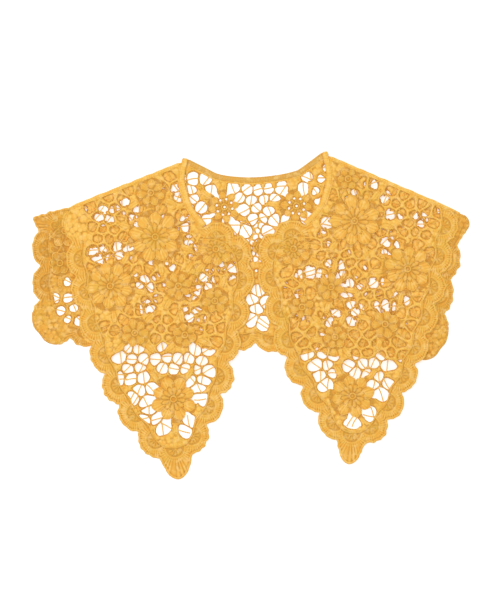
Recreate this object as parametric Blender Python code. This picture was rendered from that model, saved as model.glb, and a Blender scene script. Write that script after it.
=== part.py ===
"""A detachable guipure lace collar, laid flat and face up.

One back panel lies on the surface. Two front panels with long pointed lappets lie on it, and their
lappets reach past its hem and come down to the surface. Each front turns into the back round a soft
fold at the shoulder. A narrow tape binds the neck edge. Every lace panel is one wall with the gaps of
its net cut through, and flowers, leaves and scalloped shells raised on its outer face. Where the back
is hidden under the fronts it is plain.

x runs across the collar, y towards the neck, z up from the surface. All sizes are in millimetres.
"""

import math
import random
from collections import namedtuple

import bmesh
import bpy
from mathutils import Vector
from mathutils.geometry import delaunay_2d_cdt

MM = 0.001

# Cloth: the plain wall, the height of the motifs on it, and the gap between pieces.
WALL = 1.2
RELIEF = 0.8
SEAM_GAP = 0.3
FRONT_LEVEL = WALL + RELIEF + SEAM_GAP

# Scalloped edges, and the solid bands along them.
SCALLOP_DEPTH = 8.0
SIDE_DEPTH = 6.5
TIP_DEPTH = 23.0
SHELL_BAND = 14.0
SIDE_BAND = 20.0
TIP_BAND = 17.0
PLAIN_BAND = 3.0
BULGE_POWER = 0.65

# The net between the motifs.
NET_PITCH = 11.6
NET_JITTER = 2.4
NET_BAR = 2.8
NET_REACH = 0.62 * NET_PITCH
SITE_CLEARANCE = 1.0
LEAST_GAP_AREA = 20.0
LEAST_GAP_SIDE = 1.4
GAP_SIDES = 7
GAP_SEED = 7

# Leaves that grow out of the flowers.
LEAF_LENGTH = 15.0
LEAF_WIDTH = 6.0
LEAF_BASE = 0.5
LEAF_SPACING = 1.5 * LEAF_WIDTH
LEAF_DISCS = (0.2, 0.5, 0.8)

# Neck tape and shoulder folds.
TAPE_WIDTH = 4.6
TAPE_THICK = WALL + RELIEF
TAPE_CORNER = 0.5
FOLD_OUTER = (FRONT_LEVEL + WALL) / 2
FOLD_INNER = (FRONT_LEVEL - WALL) / 2
FOLD_REACH = FOLD_OUTER + SEAM_GAP
FOLD_FROM_NECK = 9.0
FOLD_STEPS = 8

# Where the lappets leave the back's hem, and how gently they come down.
DROP_START = 7.0
DROP_LENGTH = 34.0

# Spacing of the points on outlines, necklines and guides.
OUTLINE_STEP = 7.0
NECK_STEP = 5.0
SCALLOP_POINTS = 6
LEAST_STEP = 0.6
RELIEF_TO_EDGE = 1.5
RELIEF_SPACING = 2.0
MERGE_DISTANCE = 1e-5

THREAD_GOLD = (0.80, 0.40, 0.045, 1.0)

Edge = namedtuple("Edge", "name scallops depth band guide")
Flower = namedtuple("Flower", "x y radius petals leaves turn")
Spot = namedtuple("Spot", "place out height")

# Relief of the motifs. Heights are shares of RELIEF. In a flower, out is a share of its radius from the
# centre, and on a scallop it is a share of its depth out from the guide, with place a share of its length.
BUTTON = Spot("centre", 0.0, 0.75)
PETAL_SPOTS = (Spot("crest", 0.22, 0.15), Spot("crest", 0.6, 1.0))
VALLEY_SPOTS = (Spot("valley", 0.58, 0.3), Spot("valley", 0.9, 0.0))
LEAF_SPOTS = (Spot(0.25, 0.0, 0.7), Spot(0.75, 0.0, 0.7))
SHELL_SPOTS = (Spot(0.5, 0.55, 0.9), Spot(0.22, 0.2, 0.8), Spot(0.78, 0.2, 0.8), Spot(0.5, -0.4, 0.2),
               Spot(0.0, -1.4, 0.8), Spot(0.5, -1.4, 0.8))
TIP_SPOTS = (Spot(0.5, 0.5, 0.8), Spot(0.5, 0.8, 0.8))

NECK_LEFT = (-63.0, 156.0)
NECK_RIGHT = (71.0, 162.6)
FOLD_END_LEFT = (-180.5, 109.0)
FOLD_END_RIGHT = (204.0, 105.6)

BACK_NECKLINE = (NECK_RIGHT, (50.0, 147.0), (42.5, 143.5), (26.5, 140.0), (5.5, 137.8), (-14.5, 138.2),
                 (-32.5, 141.0), (-46.0, 147.5), NECK_LEFT)
LEFT_NECKLINE = ((-44.5, 91.0), (-58.0, 108.0), (-66.0, 134.0), NECK_LEFT)
RIGHT_NECKLINE = (NECK_RIGHT, (75.0, 136.0), (66.5, 109.0), (52.0, 93.0))
HEM_GUIDE = ((-211.5, -19.0), (-181.0, -23.0), (-100.0, -25.0), (0.0, -28.0), (60.0, -32.0),
             (120.0, -36.0), (165.0, -38.0), (189.5, -34.0))

# Each edge runs with the cloth on its left. A guide passes through the notches between the scallops.
BACK_EDGES = (
    Edge("left corner", 0, 0, PLAIN_BAND,
         ((-184.0, 107.0), (-203.0, 102.5), (-217.5, 98.0), (-218.5, 95.0), (-212.0, 83.0))),
    Edge("left side", 3, SCALLOP_DEPTH, SHELL_BAND, ((-212.0, 83.0), (-210.5, 49.0), (-211.5, -19.0))),
    Edge("hem", 13, SCALLOP_DEPTH, SHELL_BAND, HEM_GUIDE),
    Edge("right side", 3, SIDE_DEPTH, SIDE_BAND,
         ((189.5, -34.0), (193.0, 2.0), (199.0, 36.0), (206.0, 70.0))),
    Edge("right corner", 0, 0, PLAIN_BAND,
         ((206.0, 70.0), (212.5, 79.0), (218.5, 90.0), (217.0, 96.5), (211.0, 101.5))),
)
LEFT_EDGES = (
    Edge("outer", 8, SCALLOP_DEPTH, SHELL_BAND,
         ((-180.5, 106.0), (-174.0, 34.0), (-156.5, -30.0), (-132.5, -88.5), (-91.5, -143.5))),
    Edge("tip", 1, TIP_DEPTH, TIP_BAND, ((-91.5, -143.5), (-58.5, -139.5))),
    Edge("inner", 6, SCALLOP_DEPTH, SHELL_BAND,
         ((-58.5, -139.5), (-29.0, -76.0), (-22.0, -42.0), (-11.5, -8.0), (-2.0, 50.0))),
    Edge("neck point", 2, SCALLOP_DEPTH, SHELL_BAND, ((-2.0, 50.0), (-16.0, 79.0), (-48.0, 87.5))),
)
RIGHT_EDGES = (
    Edge("neck point", 2, SCALLOP_DEPTH, SHELL_BAND, ((55.3, 89.3), (22.5, 81.0), (11.5, 51.0))),
    Edge("inner", 6, SCALLOP_DEPTH, SHELL_BAND,
         ((11.5, 51.0), (24.5, -4.0), (34.0, -37.0), (48.0, -65.0), (85.5, -125.0))),
    Edge("tip", 1, TIP_DEPTH, TIP_BAND, ((85.5, -125.0), (114.5, -128.0))),
    Edge("outer", 8, SCALLOP_DEPTH, SHELL_BAND,
         ((114.5, -128.0), (138.0, -102.0), (165.0, -45.0), (185.0, 19.0), (202.0, 103.0))),
)

BACK_FLOWERS = (
    Flower(-26.5, 108.0, 16.0, 8, 4, 10),
    Flower(45.5, 109.0, 16.0, 8, 4, 40),
    Flower(8.5, 68.0, 13.0, 6, 3, 30),
    Flower(-186.0, 84.0, 17.0, 8, 2, 15),
    Flower(-191.0, 52.0, 12.0, 6, 2, 0),
)
LEFT_FLOWERS = (
    Flower(-95.5, 78.0, 26.0, 9, 6, 10),
    Flower(-140.5, 29.0, 24.0, 9, 5, 25),
    Flower(-35.0, 66.0, 18.0, 8, 4, 5),
    Flower(-77.5, -84.0, 23.0, 8, 5, 22),
    Flower(-72.5, 29.0, 14.0, 7, 4, 15),
    Flower(-100.0, 122.0, 14.0, 7, 3, 35),
    Flower(-36.0, 14.0, 13.0, 6, 3, 8),
    Flower(-116.0, -18.0, 14.0, 7, 4, 0),
    Flower(-66.0, -20.0, 12.0, 6, 3, 40),
)
RIGHT_FLOWERS = (
    Flower(103.5, 94.0, 26.0, 9, 6, 20),
    Flower(156.5, 46.0, 24.0, 9, 5, 5),
    Flower(42.5, 66.0, 18.0, 8, 4, 15),
    Flower(101.5, -81.0, 22.0, 8, 5, 12),
    Flower(80.0, 28.0, 14.0, 7, 4, 35),
    Flower(97.0, 136.0, 11.0, 6, 2, 0),
    Flower(51.0, 8.0, 12.0, 6, 3, 20),
    Flower(134.0, -9.0, 14.0, 7, 4, 28),
    Flower(84.0, -22.0, 12.0, 6, 3, 8),
)


def smooth(points, spacing):
    """Points about spacing apart on the Catmull-Rom curve through the given points."""
    line = [Vector(p) for p in points]
    padded = [2 * line[0] - line[1], *line, 2 * line[-1] - line[-2]]
    found = []
    for before, start, end, after in zip(padded, padded[1:], padded[2:], padded[3:]):
        steps = max(1, round((end - start).length / spacing))
        for step in range(steps):
            t = step / steps
            found.append(0.5 * (2 * start + (end - before) * t
                                + (2 * before - 5 * start + 4 * end - after) * t * t
                                + (3 * start - before - 3 * end + after) * t ** 3))
    found.append(line[-1])
    return found


def along(line, share):
    """The point at that share of the line's length, and the unit vector to the right of its travel."""
    left = share * sum((b - a).length for a, b in zip(line, line[1:]))
    for a, b in zip(line, line[1:]):
        length = (b - a).length
        if left <= length or b is line[-1]:
            direction = (b - a) / length
            return a + direction * left, Vector((direction.y, -direction.x))
        left -= length


def moved(line, distance):
    """The line moved sideways, to the right of its travel."""
    last = len(line) - 1
    found = []
    for i, point in enumerate(line):
        direction = (line[min(i + 1, last)] - line[max(i - 1, 0)]).normalized()
        found.append(point + distance * Vector((direction.y, -direction.x)))
    return found


def scalloped(edge):
    """The outline along an edge: round scallops that stand out from its guide, or the guide itself."""
    line = smooth(edge.guide, OUTLINE_STEP)
    if not edge.scallops:
        return line
    found = []
    for i in range(edge.scallops * SCALLOP_POINTS):
        point, outward = along(line, i / (edge.scallops * SCALLOP_POINTS))
        bulge = math.sin(math.pi * (i % SCALLOP_POINTS) / SCALLOP_POINTS) ** BULGE_POWER
        found.append(point + outward * edge.depth * bulge)
    found.append(line[-1])
    return found


def joined(*lines):
    """One closed outline from lines that follow each other, without points that nearly coincide."""
    found = []
    for point in (p for line in lines for p in line):
        if not found or (point - found[-1]).length > LEAST_STEP:
            found.append(point)
    if (found[0] - found[-1]).length < LEAST_STEP:
        found.pop()
    return found


def inside(point, loop):
    """Whether a point lies inside a closed loop."""
    crossings = 0
    for a, b in zip(loop, loop[1:] + loop[:1]):
        if (a.y > point.y) != (b.y > point.y):
            crossings += a.x + (b.x - a.x) * (point.y - a.y) / (b.y - a.y) > point.x
    return crossings % 2 == 1


def nearest(point, line):
    """How far a point is from an open line, and the nearest point on it."""
    best, place = math.inf, line[0]
    for a, b in zip(line, line[1:]):
        step = b - a
        t = max(0.0, min(1.0, (point - a).dot(step) / step.length_squared))
        distance = (point - a - step * t).length
        if distance < best:
            best, place = distance, a + step * t
    return best, place


def clipped(loop, place, normal):
    """The part of a convex loop that lies on the side of place that normal points to."""
    found = []
    for a, b in zip(loop, loop[1:] + loop[:1]):
        before, after = (a - place).dot(normal), (b - place).dot(normal)
        if before >= 0:
            found.append(a)
        if before * after < 0:
            found.append(a + (b - a) * before / (before - after))
    return found


def area(loop):
    """The area of a loop that turns to the left."""
    return sum(a.cross(b) for a, b in zip(loop, loop[1:] + loop[:1])) / 2


def ray(degrees):
    """The unit vector at an angle from the x axis."""
    return Vector((math.cos(math.radians(degrees)), math.sin(math.radians(degrees))))


def leaves_of(flowers, outline, bands):
    """(base, tip) of each leaf that has room between the flowers and the solid bands."""
    found = []
    for flower in flowers:
        centre = Vector((flower.x, flower.y))
        for i in range(flower.leaves):
            out = ray(flower.turn + 360 * (i + 0.5) / flower.leaves)
            base = centre + out * (flower.radius + LEAF_BASE)
            tip = centre + out * (flower.radius + LEAF_LENGTH)
            clear = all((tip - Vector((f.x, f.y))).length > f.radius + LEAF_WIDTH / 2 for f in flowers)
            clear = clear and all((tip - (a + b) / 2).length > LEAF_SPACING for a, b in found)
            clear = clear and all(nearest(tip, line)[0] > band + SITE_CLEARANCE for line, band in bands)
            if clear and inside(tip, outline):
                found.append((base, tip))
    return found


def gap_sites(outline, discs, bands, covers):
    """Jittered points of a triangular grid that lie on the net, clear of motifs, bands and covers."""
    jitter = random.Random(GAP_SEED)
    low = Vector((min(p.x for p in outline), min(p.y for p in outline)))
    high = Vector((max(p.x for p in outline), max(p.y for p in outline)))
    row_pitch = NET_PITCH * math.sqrt(3) / 2
    found = []
    for row in range(int((high.y - low.y) / row_pitch) + 1):
        for column in range(int((high.x - low.x) / NET_PITCH) + 1):
            site = low + Vector(((column + row % 2 / 2) * NET_PITCH, row * row_pitch))
            site += Vector((jitter.uniform(-1, 1), jitter.uniform(-1, 1))) * NET_JITTER
            clear = inside(site, outline) and not any(inside(site, cover) for cover in covers)
            clear = clear and all((site - centre).length > radius + SITE_CLEARANCE for centre, radius in discs)
            if clear and all(nearest(site, line)[0] > band + SITE_CLEARANCE for line, band in bands):
                found.append(site)
    return found


def gaps_of(flowers, leaves, outline, bands, covers):
    """The net's gaps: a cell round each site, kept a bar's width from the next and clear of motifs."""
    discs = [(Vector((f.x, f.y)), f.radius) for f in flowers]
    discs += [(base.lerp(tip, share), LEAF_WIDTH / 2) for base, tip in leaves for share in LEAF_DISCS]
    sites = gap_sites(outline, discs, bands, covers)
    found = []
    for site in sites:
        cell = [site + ray(360 * i / GAP_SIDES) * NET_REACH for i in range(GAP_SIDES)]
        for other in sites:
            apart = site - other
            if 0 < apart.length < 2 * NET_PITCH:
                cell = clipped(cell, (site + other + apart.normalized() * NET_BAR) / 2, apart)
        for centre, radius in discs:
            apart = site - centre
            if apart.length < radius + NET_REACH:
                cell = clipped(cell, centre + apart.normalized() * radius, apart)
        for line, band in bands:
            distance, place = nearest(site, line)
            if distance < band + NET_REACH:
                apart = site - place
                cell = clipped(cell, place + apart.normalized() * band, apart)
        cell = [p for i, p in enumerate(cell) if (p - cell[i - 1]).length > LEAST_GAP_SIDE]
        if len(cell) > 3 and area(cell) > LEAST_GAP_AREA:
            found.append(cell)
    return found


def flower_relief(flower):
    """(point, height) of a flower's button, the dip round it, its petals' crests and the valleys between."""
    centre = Vector((flower.x, flower.y))
    found = [(centre, BUTTON.height * RELIEF)]
    for i in range(2 * flower.petals):
        out = ray(flower.turn + 180 * i / flower.petals) * flower.radius
        for spot in VALLEY_SPOTS if i % 2 else PETAL_SPOTS:
            found.append((centre + out * spot.out, spot.height * RELIEF))
    return found


def leaf_relief(base, tip):
    """(point, height) along a leaf's raised middle."""
    return [(base.lerp(tip, spot.place), spot.height * RELIEF) for spot in LEAF_SPOTS]


def shell_relief(edge):
    """(point, height) of the shell in each scallop: a raised rim, a low middle and a cord along the net."""
    line = smooth(edge.guide, OUTLINE_STEP)
    found = []
    for i in range(edge.scallops):
        for spot in SHELL_SPOTS:
            point, outward = along(line, (i + spot.place) / edge.scallops)
            found.append((point + outward * spot.out * SCALLOP_DEPTH, spot.height * RELIEF))
        for spot in TIP_SPOTS if edge.depth == TIP_DEPTH else ():
            point, outward = along(line, (i + spot.place) / edge.scallops)
            found.append((point + outward * spot.out * TIP_DEPTH, spot.height * RELIEF))
    return found


def back_level(point):
    """The back's underside lies on the surface."""
    return 0.0


def front_level(point):
    """How high a front's underside lies: on the back, and down to the surface past the back's hem."""
    hem = smooth(HEM_GUIDE, 2 * OUTLINE_STEP)
    after = next((i for i, p in enumerate(hem) if p.x > point.x), len(hem) - 1)
    a, b = hem[max(after, 1) - 1], hem[max(after, 1)]
    hem_y = a.y + (b.y - a.y) * (point.x - a.x) / (b.x - a.x)
    past = hem_y - SCALLOP_DEPTH - DROP_START - point.y
    t = max(0.0, min(1.0, past / DROP_LENGTH))
    return FRONT_LEVEL * (1 - t * t * (3 - 2 * t))


def material(name, colour, roughness):
    """A plain Principled material."""
    made = bpy.data.materials.new(name)
    made.use_nodes = True
    shader = made.node_tree.nodes["Principled BSDF"]
    shader.inputs["Base Color"].default_value = colour
    shader.inputs["Roughness"].default_value = roughness
    return made


def spaced(relief, outline, gaps):
    """The relief's points that lie on cloth and clear of its edges."""
    edge = [p for loop in (outline, *gaps) for p in loop]
    found = []
    for point, height in relief:
        clear = inside(point, outline) and min((point - p).length for p in edge) > RELIEF_TO_EDGE
        clear = clear and not any(inside(point, gap) for gap in gaps)
        if clear and all((point - p).length > RELIEF_SPACING for p, _ in found):
            found.append((point, height))
    return found


def lace_wall(name, outline, gaps, relief, level):
    """One lace panel: a plain underside at its level, gaps cut through, and a raised outer face."""
    points, heights, edges = [], [], []
    for loop in (outline, *gaps):
        first = len(points)
        points += loop
        heights += [0.0] * len(loop)
        edges += [(first + i, first + (i + 1) % len(loop)) for i in range(len(loop))]
    for point, height in spaced(relief, outline, gaps):
        points.append(point)
        heights.append(height)
    flat, _, faces, sources, _, _ = delaunay_2d_cdt(points, edges, [], 1, MERGE_DISTANCE)
    mesh = bmesh.new()
    corners = [mesh.verts.new((p.x * MM, p.y * MM, level(p) * MM)) for p in flat]
    for face in faces:
        middle = sum((flat[i] for i in face), Vector((0.0, 0.0))) / len(face)
        if inside(middle, outline) and not any(inside(middle, gap) for gap in gaps):
            mesh.faces.new([corners[i] for i in face])
    rise = {corner: WALL + (heights[source[0]] if source else 0.0) for corner, source in zip(corners, sources)}
    copies = bmesh.ops.duplicate(mesh, geom=mesh.verts[:] + mesh.edges[:] + mesh.faces[:])["vert_map"]
    for corner, height in rise.items():
        copies[corner].co.z += height * MM
    rim = [e for e in mesh.edges if e.is_boundary and e.verts[0] in rise]
    for edge in rim:
        a, b = edge.verts
        mesh.faces.new((a, b, copies[b], copies[a]))
    bmesh.ops.delete(mesh, geom=[v for v in mesh.verts if not v.link_faces], context="VERTS")
    bmesh.ops.recalc_face_normals(mesh, faces=mesh.faces)
    data = bpy.data.meshes.new(name)
    mesh.to_mesh(data)
    mesh.free()
    data.materials.append(THREAD)
    COLLAR.objects.link(bpy.data.objects.new(name, data))


def swept(name, path, section):
    """A curve through the path's points with filled ends and that section, turned to face outward."""
    if area([Vector(p) for p in section]) > 0:
        section = section[::-1]
    profile = bpy.data.curves.new(f"{name}_section", "CURVE")
    profile.dimensions = "2D"
    outline = profile.splines.new("POLY")
    outline.points.add(len(section) - 1)
    outline.use_cyclic_u = True
    for point, (across, up) in zip(outline.points, section):
        point.co = (across * MM, up * MM, 0, 1)
    shape = bpy.data.objects.new(f"{name}_section", profile)
    shape.hide_render = True
    shape.display_type = "WIRE"
    GUIDES.objects.link(shape)
    curve = bpy.data.curves.new(name, "CURVE")
    curve.dimensions = "3D"
    curve.twist_mode = "Z_UP"
    curve.bevel_mode = "OBJECT"
    curve.bevel_object = shape
    curve.use_fill_caps = True
    spline = curve.splines.new("POLY")
    spline.points.add(len(path) - 1)
    for point, place in zip(spline.points, path):
        point.co = (*(value * MM for value in place), 1)
    curve.materials.append(TAPE)
    COLLAR.objects.link(bpy.data.objects.new(name, curve))


def tape_section():
    """The neck tape's section with bevelled corners, across and up from its middle."""
    half, thick = TAPE_WIDTH / 2, TAPE_THICK / 2
    quarter = [(half, thick - TAPE_CORNER), (half - TAPE_CORNER, thick)]
    upper = quarter + [(-x, y) for x, y in reversed(quarter)]
    return upper + [(-x, -y) for x, y in upper]


def neck_tape(name, neckline, level):
    """Tape along a neckline, just inside it."""
    middle = moved(smooth(neckline, NECK_STEP), -TAPE_WIDTH / 2)
    swept(name, [(p.x, p.y, level + TAPE_THICK / 2) for p in middle], tape_section())


def fold_line(neck, end, side, start, reach):
    """The line beside a shoulder from start past the neck to the fold's end, that far into the cloth."""
    first, last = Vector(neck), Vector(end)
    direction = (last - first).normalized()
    inward = Vector((-direction.y, direction.x)) * side * reach
    return [first + direction * start + inward, last + inward]


def shoulder_fold(name, neck, end, side):
    """The stretch of lace that turns from the back to a front: a half round wall along the shoulder."""
    path = [(p.x, p.y, FOLD_OUTER) for p in fold_line(neck, end, side, FOLD_FROM_NECK, FOLD_OUTER)]
    turns = [math.pi * (i / FOLD_STEPS - 0.5) for i in range(FOLD_STEPS + 1)]
    section = [(side * FOLD_OUTER * math.cos(a), FOLD_OUTER * math.sin(a)) for a in turns]
    section += [(side * FOLD_INNER * math.cos(a), FOLD_INNER * math.sin(a)) for a in reversed(turns)]
    swept(name, path, section)


def neck_edge(neckline):
    """A panel's own edge beside the neck tape, short of the neck points, where it meets the fold."""
    line = moved(smooth(neckline, NECK_STEP), -(TAPE_WIDTH + SEAM_GAP))
    first = 1 if neckline[0] == NECK_RIGHT else 0
    last = -1 if neckline[-1] == NECK_LEFT else None
    return line[first:last]


def lace_panel(name, edges, flowers, before, after, level, covers=()):
    """A panel from its scalloped edges, the plain lines before and after them, and its flowers."""
    outline = joined(before, *(scalloped(edge) for edge in edges), after)
    bands = [(smooth(edge.guide, OUTLINE_STEP), edge.band) for edge in edges]
    bands.append((outline + outline[:1], PLAIN_BAND))
    leaves = leaves_of(flowers, outline, bands)
    gaps = gaps_of(flowers, leaves, outline, bands, covers)
    relief = [spot for flower in flowers for spot in flower_relief(flower)]
    relief += [spot for base, tip in leaves for spot in leaf_relief(base, tip)]
    relief += [spot for edge in edges for spot in shell_relief(edge)]
    relief = [(p, height) for p, height in relief if not any(inside(p, cover) for cover in covers)]
    lace_wall(name, outline, gaps, relief, level)
    print(name, "has", len(gaps), "gaps")
    return outline


for old in list(bpy.data.objects):
    bpy.data.objects.remove(old)
COLLAR = bpy.data.collections.new("lace_collar")
GUIDES = bpy.data.collections.new("guides")
bpy.context.scene.collection.children.link(COLLAR)
bpy.context.scene.collection.children.link(GUIDES)
THREAD = material("embroidery_thread", THREAD_GOLD, 0.6)
TAPE = material("neck_tape", THREAD_GOLD, 0.7)

left_fold = fold_line(NECK_LEFT, FOLD_END_LEFT, 1, FOLD_FROM_NECK, FOLD_REACH)
right_fold = fold_line(NECK_RIGHT, FOLD_END_RIGHT, -1, FOLD_FROM_NECK, FOLD_REACH)[::-1]
fronts = [
    lace_panel("front_left", LEFT_EDGES, LEFT_FLOWERS, left_fold, neck_edge(LEFT_NECKLINE), front_level),
    lace_panel("front_right", RIGHT_EDGES, RIGHT_FLOWERS, neck_edge(RIGHT_NECKLINE), right_fold, front_level),
]
lace_panel("back_panel", BACK_EDGES, BACK_FLOWERS, left_fold, right_fold + neck_edge(BACK_NECKLINE),
           back_level, fronts)
neck_tape("neck_tape_back", BACK_NECKLINE, 0.0)
neck_tape("neck_tape_left", LEFT_NECKLINE, FRONT_LEVEL)
neck_tape("neck_tape_right", RIGHT_NECKLINE, FRONT_LEVEL)
shoulder_fold("shoulder_fold_left", NECK_LEFT, FOLD_END_LEFT, 1)
shoulder_fold("shoulder_fold_right", NECK_RIGHT, FOLD_END_RIGHT, -1)
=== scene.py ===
# %% [markdown]
# # A lace collar, laid flat
# Guipure lace is embroidered on a backing that is washed away, so only stitched thread is left: satin
# petals and leaves, shells along the edge, and thin bars between them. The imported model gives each
# panel's cut and its largest gaps. The lace is built on those, so that it stays where the solids are.

import math
from collections import namedtuple

import bmesh
import bpy
import numpy as np
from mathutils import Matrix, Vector


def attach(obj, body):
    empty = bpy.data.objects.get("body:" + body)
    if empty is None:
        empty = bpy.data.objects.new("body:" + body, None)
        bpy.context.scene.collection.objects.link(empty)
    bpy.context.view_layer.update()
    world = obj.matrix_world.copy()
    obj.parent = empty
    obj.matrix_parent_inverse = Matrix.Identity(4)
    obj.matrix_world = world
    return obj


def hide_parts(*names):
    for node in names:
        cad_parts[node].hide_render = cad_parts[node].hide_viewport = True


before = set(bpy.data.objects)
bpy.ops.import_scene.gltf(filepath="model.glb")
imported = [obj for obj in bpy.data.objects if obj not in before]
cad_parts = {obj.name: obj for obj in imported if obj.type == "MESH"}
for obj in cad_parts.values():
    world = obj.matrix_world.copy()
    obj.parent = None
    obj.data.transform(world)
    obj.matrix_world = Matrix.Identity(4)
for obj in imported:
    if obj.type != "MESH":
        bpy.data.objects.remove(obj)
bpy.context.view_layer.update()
MM = 0.001
print("solids:", sorted(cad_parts))

# %% [markdown]
# ## Camera, floor and light
# The collar was photographed from straight above on a plain white surface, evenly lit. A long lens high
# above it keeps the outline free of perspective. A bright world, a large lamp overhead that reaches into
# the gaps, and a soft one from the side leave only faint shadows, and the floor comes out white.

# %% Camera
FRAME_HEIGHT = 0.600
VIEW_CENTRE = (-0.001, 0.015)
CAMERA_HEIGHT = 2.4
SENSOR = 36.0


def placed(name, data):
    """A new object in the scene that shows that data."""
    made = bpy.data.objects.new(name, data)
    bpy.context.scene.collection.objects.link(made)
    return made


camera = bpy.data.cameras.new("camera")
camera.sensor_width = SENSOR
camera.lens = SENSOR * CAMERA_HEIGHT / FRAME_HEIGHT
viewer = placed("camera", camera)
viewer.location = (*VIEW_CENTRE, CAMERA_HEIGHT)
bpy.context.scene.camera = viewer
print("lens:", round(camera.lens), "mm")

# %% Floor and light
FLOOR_SIDE = 6.0
FLOOR_DROP = 0.0002
SKY_STRENGTH = 0.62
Lamp = namedtuple("Lamp", "name place side watts")
LAMPS = (Lamp("side_lamp", (-1.1, 1.2, 1.9), 1.2, 18.0), Lamp("overhead_lamp", (0.0, 0.0, 3.2), 1.6, 31.0))

bpy.context.scene.view_settings.view_transform = "Standard"
sky = bpy.data.worlds.new("sky")
sky.use_nodes = True
sky.node_tree.nodes["Background"].inputs["Color"].default_value = (1.0, 1.0, 1.0, 1.0)
sky.node_tree.nodes["Background"].inputs["Strength"].default_value = SKY_STRENGTH
bpy.context.scene.world = sky

for lamp in LAMPS:
    light = bpy.data.lights.new(lamp.name, "AREA")
    light.size = lamp.side
    light.energy = lamp.watts
    stand = placed(lamp.name, light)
    stand.location = lamp.place
    stand.rotation_mode = "QUATERNION"
    stand.rotation_quaternion = Vector(lamp.place).to_track_quat("Z", "Y")

floor_mesh = bpy.data.meshes.new("floor")
floor_mesh.from_pydata([(x * FLOOR_SIDE / 2, y * FLOOR_SIDE / 2, -FLOOR_DROP)
                        for x, y in ((-1, -1), (1, -1), (1, 1), (-1, 1))], [], [(0, 1, 2, 3)])
floor = placed("floor", floor_mesh)

# %% [markdown]
# ## Shader maths
# A wrapped socket lets a material be written as sums and products. Each operator adds a Math node.


# %% A socket that can be reckoned with
class Value:
    """A socket of a node tree. Arithmetic on it adds Math nodes."""

    def __init__(self, tree, socket):
        self.tree, self.socket = tree, socket

    def node(self, kind, settings=(), **inputs):
        """A node of that type, its settings made first, then its inputs by name; gives its first output."""
        made = self.tree.nodes.new(kind)
        for name, value in dict(settings).items():
            setattr(made, name, value)
        for name, value in inputs.items():
            place = made.inputs[int(name[1:])] if name[0] == "_" else made.inputs[name.replace("_", " ")]
            if isinstance(value, Value):
                self.tree.links.new(value.socket, place)
            else:
                place.default_value = value
        return Value(self.tree, made.outputs[0])

    def math(self, operation, *values):
        return self.node("ShaderNodeMath", {"operation": operation},
                         **{f"_{i}": value for i, value in enumerate(values)})

    def __add__(self, other):
        return self.math("ADD", self, other)

    def __mul__(self, other):
        return self.math("MULTIPLY", self, other)

    def __sub__(self, other):
        return self.math("SUBTRACT", self, other)

    def __rsub__(self, other):
        return self.math("SUBTRACT", other, self)

    __radd__ = __add__

    def clamped(self):
        return self.math("MINIMUM", self.math("MAXIMUM", self, 0.0), 1.0)

    def wave(self, period):
        """A wave between 0 and 1 over that period of the value."""
        return self.math("SINE", self * (math.tau / period)) * 0.5 + 0.5

    def ramp(self, *stops):
        """The colour at this value on a ramp of (place, colour) stops."""
        made = self.tree.nodes.new("ShaderNodeValToRGB")
        places = made.color_ramp.elements
        while len(places) < len(stops):
            places.new(0.5)
        for place, (at, colour) in zip(places, stops):
            place.position, place.color = at, (*colour, 1.0)
        self.tree.links.new(self.socket, made.inputs[0])
        return Value(self.tree, made.outputs[0])


def tinted(share, first, second):
    """The first colour, turned into the second by that share."""
    mix = share.tree.nodes.new("ShaderNodeMix")
    mix.data_type = "RGBA"
    for place, value in ((mix.inputs[0], share), (mix.inputs[6], first), (mix.inputs[7], second)):
        if isinstance(value, Value):
            share.tree.links.new(value.socket, place)
        else:
            place.default_value = (*value, 1.0)
    return Value(share.tree, mix.outputs[2])


# %% [markdown]
# ## Thread
# The yarn is a matt satin in mustard yellow. Its colour carries painted light and shade: where the thread
# stands up it is painted a lighter golden yellow as a highlight, and in the valleys between the stitches
# it is painted down to orange as shade. Paler and more olive patches a few millimetres wide vary its tone.
# Each piece carries an attribute for how high its thread stands, which sets that painted shade and
# highlight, and one that counts millimetres across the stitches, so the fine ribs follow them. A little
# light goes through the thread, as it does in yarn.

# %% Thread materials
# Ramp colours: the valley colour is painted shade, the crest colour a painted highlight, THREAD the yarn's
# own.
PAINTED_VALLEY_SHADE = (0.50, 0.215, 0.020)
THREAD = (0.75, 0.390, 0.052)
PAINTED_CREST_HIGHLIGHT = (0.87, 0.530, 0.100)
OLIVE = (0.66, 0.430, 0.036)
ORANGE = (0.80, 0.350, 0.024)
PEACH = (0.91, 0.600, 0.210)
STITCH = 0.62
BUNDLE = 2.5
STITCH_DEPTH = 0.00012
# The thread glows a little in its own colour: painted light that lifts its shade.
GLOW = 0.10
NOISES = ((45.0, 2.0), (210.0, 2.0), (1500.0, 3.0))


def principled(name, **inputs):
    """A material and its Principled shader, with inputs set by their names."""
    made = bpy.data.materials.new(name)
    made.use_nodes = True
    shader = made.node_tree.nodes["Principled BSDF"]
    for key, value in inputs.items():
        shader.inputs[key.replace("_", " ")].default_value = value
    return made, shader


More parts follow.
